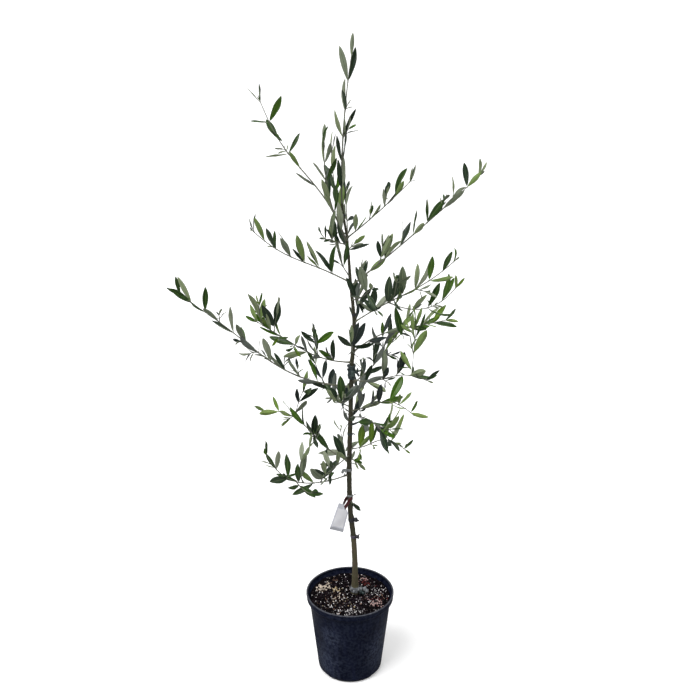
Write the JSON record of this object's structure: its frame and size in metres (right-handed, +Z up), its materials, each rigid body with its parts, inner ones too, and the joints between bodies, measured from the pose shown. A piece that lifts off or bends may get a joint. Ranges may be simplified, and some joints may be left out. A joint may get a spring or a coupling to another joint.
{
  "type": "potted olive tree",
  "caption": "Young olive tree in a black nursery pot: one slender trunk with bare boughs and long leafy shoots on every side, a blank label and tie bands on the trunk.",
  "frame": {"origin": "centre of the pot's flat underside", "axes": "+Z up along the tree, +X to the right and -Y towards the viewer of the side that the label faces"},
  "size_m": [0.7228, 0.4636, 1.5326],
  "materials": {
    "black_plastic": "blow-moulded black plastic with a faint vertical grain, dusty and lightly scuffed",
    "soil": "dark potting mix with white perlite grains and bark chips",
    "bark": "smooth young grey-green to brown bark with small pores and leaf scars",
    "foliage": "leathery leaves, dark satin green above and matte silver grey-green below",
    "tie_tape": "soft dark grey-blue tying tape",
    "strap_plastic": "dark red soft plastic",
    "tag_plastic": "blank white plastic sleeve"
  },
  "bodies": {
    "root": {"bough_front_right": "bark", "bough_left_mid": "bark", "bough_long_left": "bark", "bough_long_right": "bark", "bough_low_left": "bark", "bough_lowest_left": "bark", "bough_mid_left": "bark", "bough_right_droop": "bark", "bough_right_fork": "bark", "bough_right_low": "bark", "bough_right_mid": "bark", "bough_right_thin": "bark", "bough_upper_left": "bark", "foot_tape": "tie_tape", "pot": "black_plastic", "soil": "soil", "spray_back_high": "foliage", "spray_back_low": "foliage", "spray_back_mid": "foliage", "spray_foot_tuft": "foliage", "spray_front_high": "foliage", "spray_front_low": "foliage", "spray_front_mid": "foliage", "spray_front_right": "foliage", "spray_leader": "foliage", "spray_left_inner": "foliage", "spray_left_mid": "foliage", "spray_long_left": "foliage", "spray_long_right": "foliage", "spray_low_back": "foliage", "spray_low_front": "foliage", "spray_low_left": "foliage", "spray_low_right": "foliage", "spray_low_tuft": "foliage", "spray_lowest_left": "foliage", "spray_mid_left": "foliage", "spray_right_droop": "foliage", "spray_right_fork": "foliage", "spray_right_low": "foliage", "spray_right_mid": "foliage", "spray_right_thin": "foliage", "spray_rising_left": "foliage", "spray_short_left": "foliage", "spray_upper_left": "foliage", "spray_upper_right": "foliage", "spray_upright_back": "foliage", "spray_upright_left": "foliage", "strap": "strap_plastic", "tag": "tag_plastic", "tape_wrap": "tie_tape", "tie_bow": "tie_tape", "tie_high": "tie_tape", "tie_low": "tie_tape", "tie_lowest": "tie_tape", "tie_middle": "tie_tape", "tie_top": "tie_tape", "tie_under_tag": "tie_tape", "trunk": "bark"}
  },
  "joints": []
}
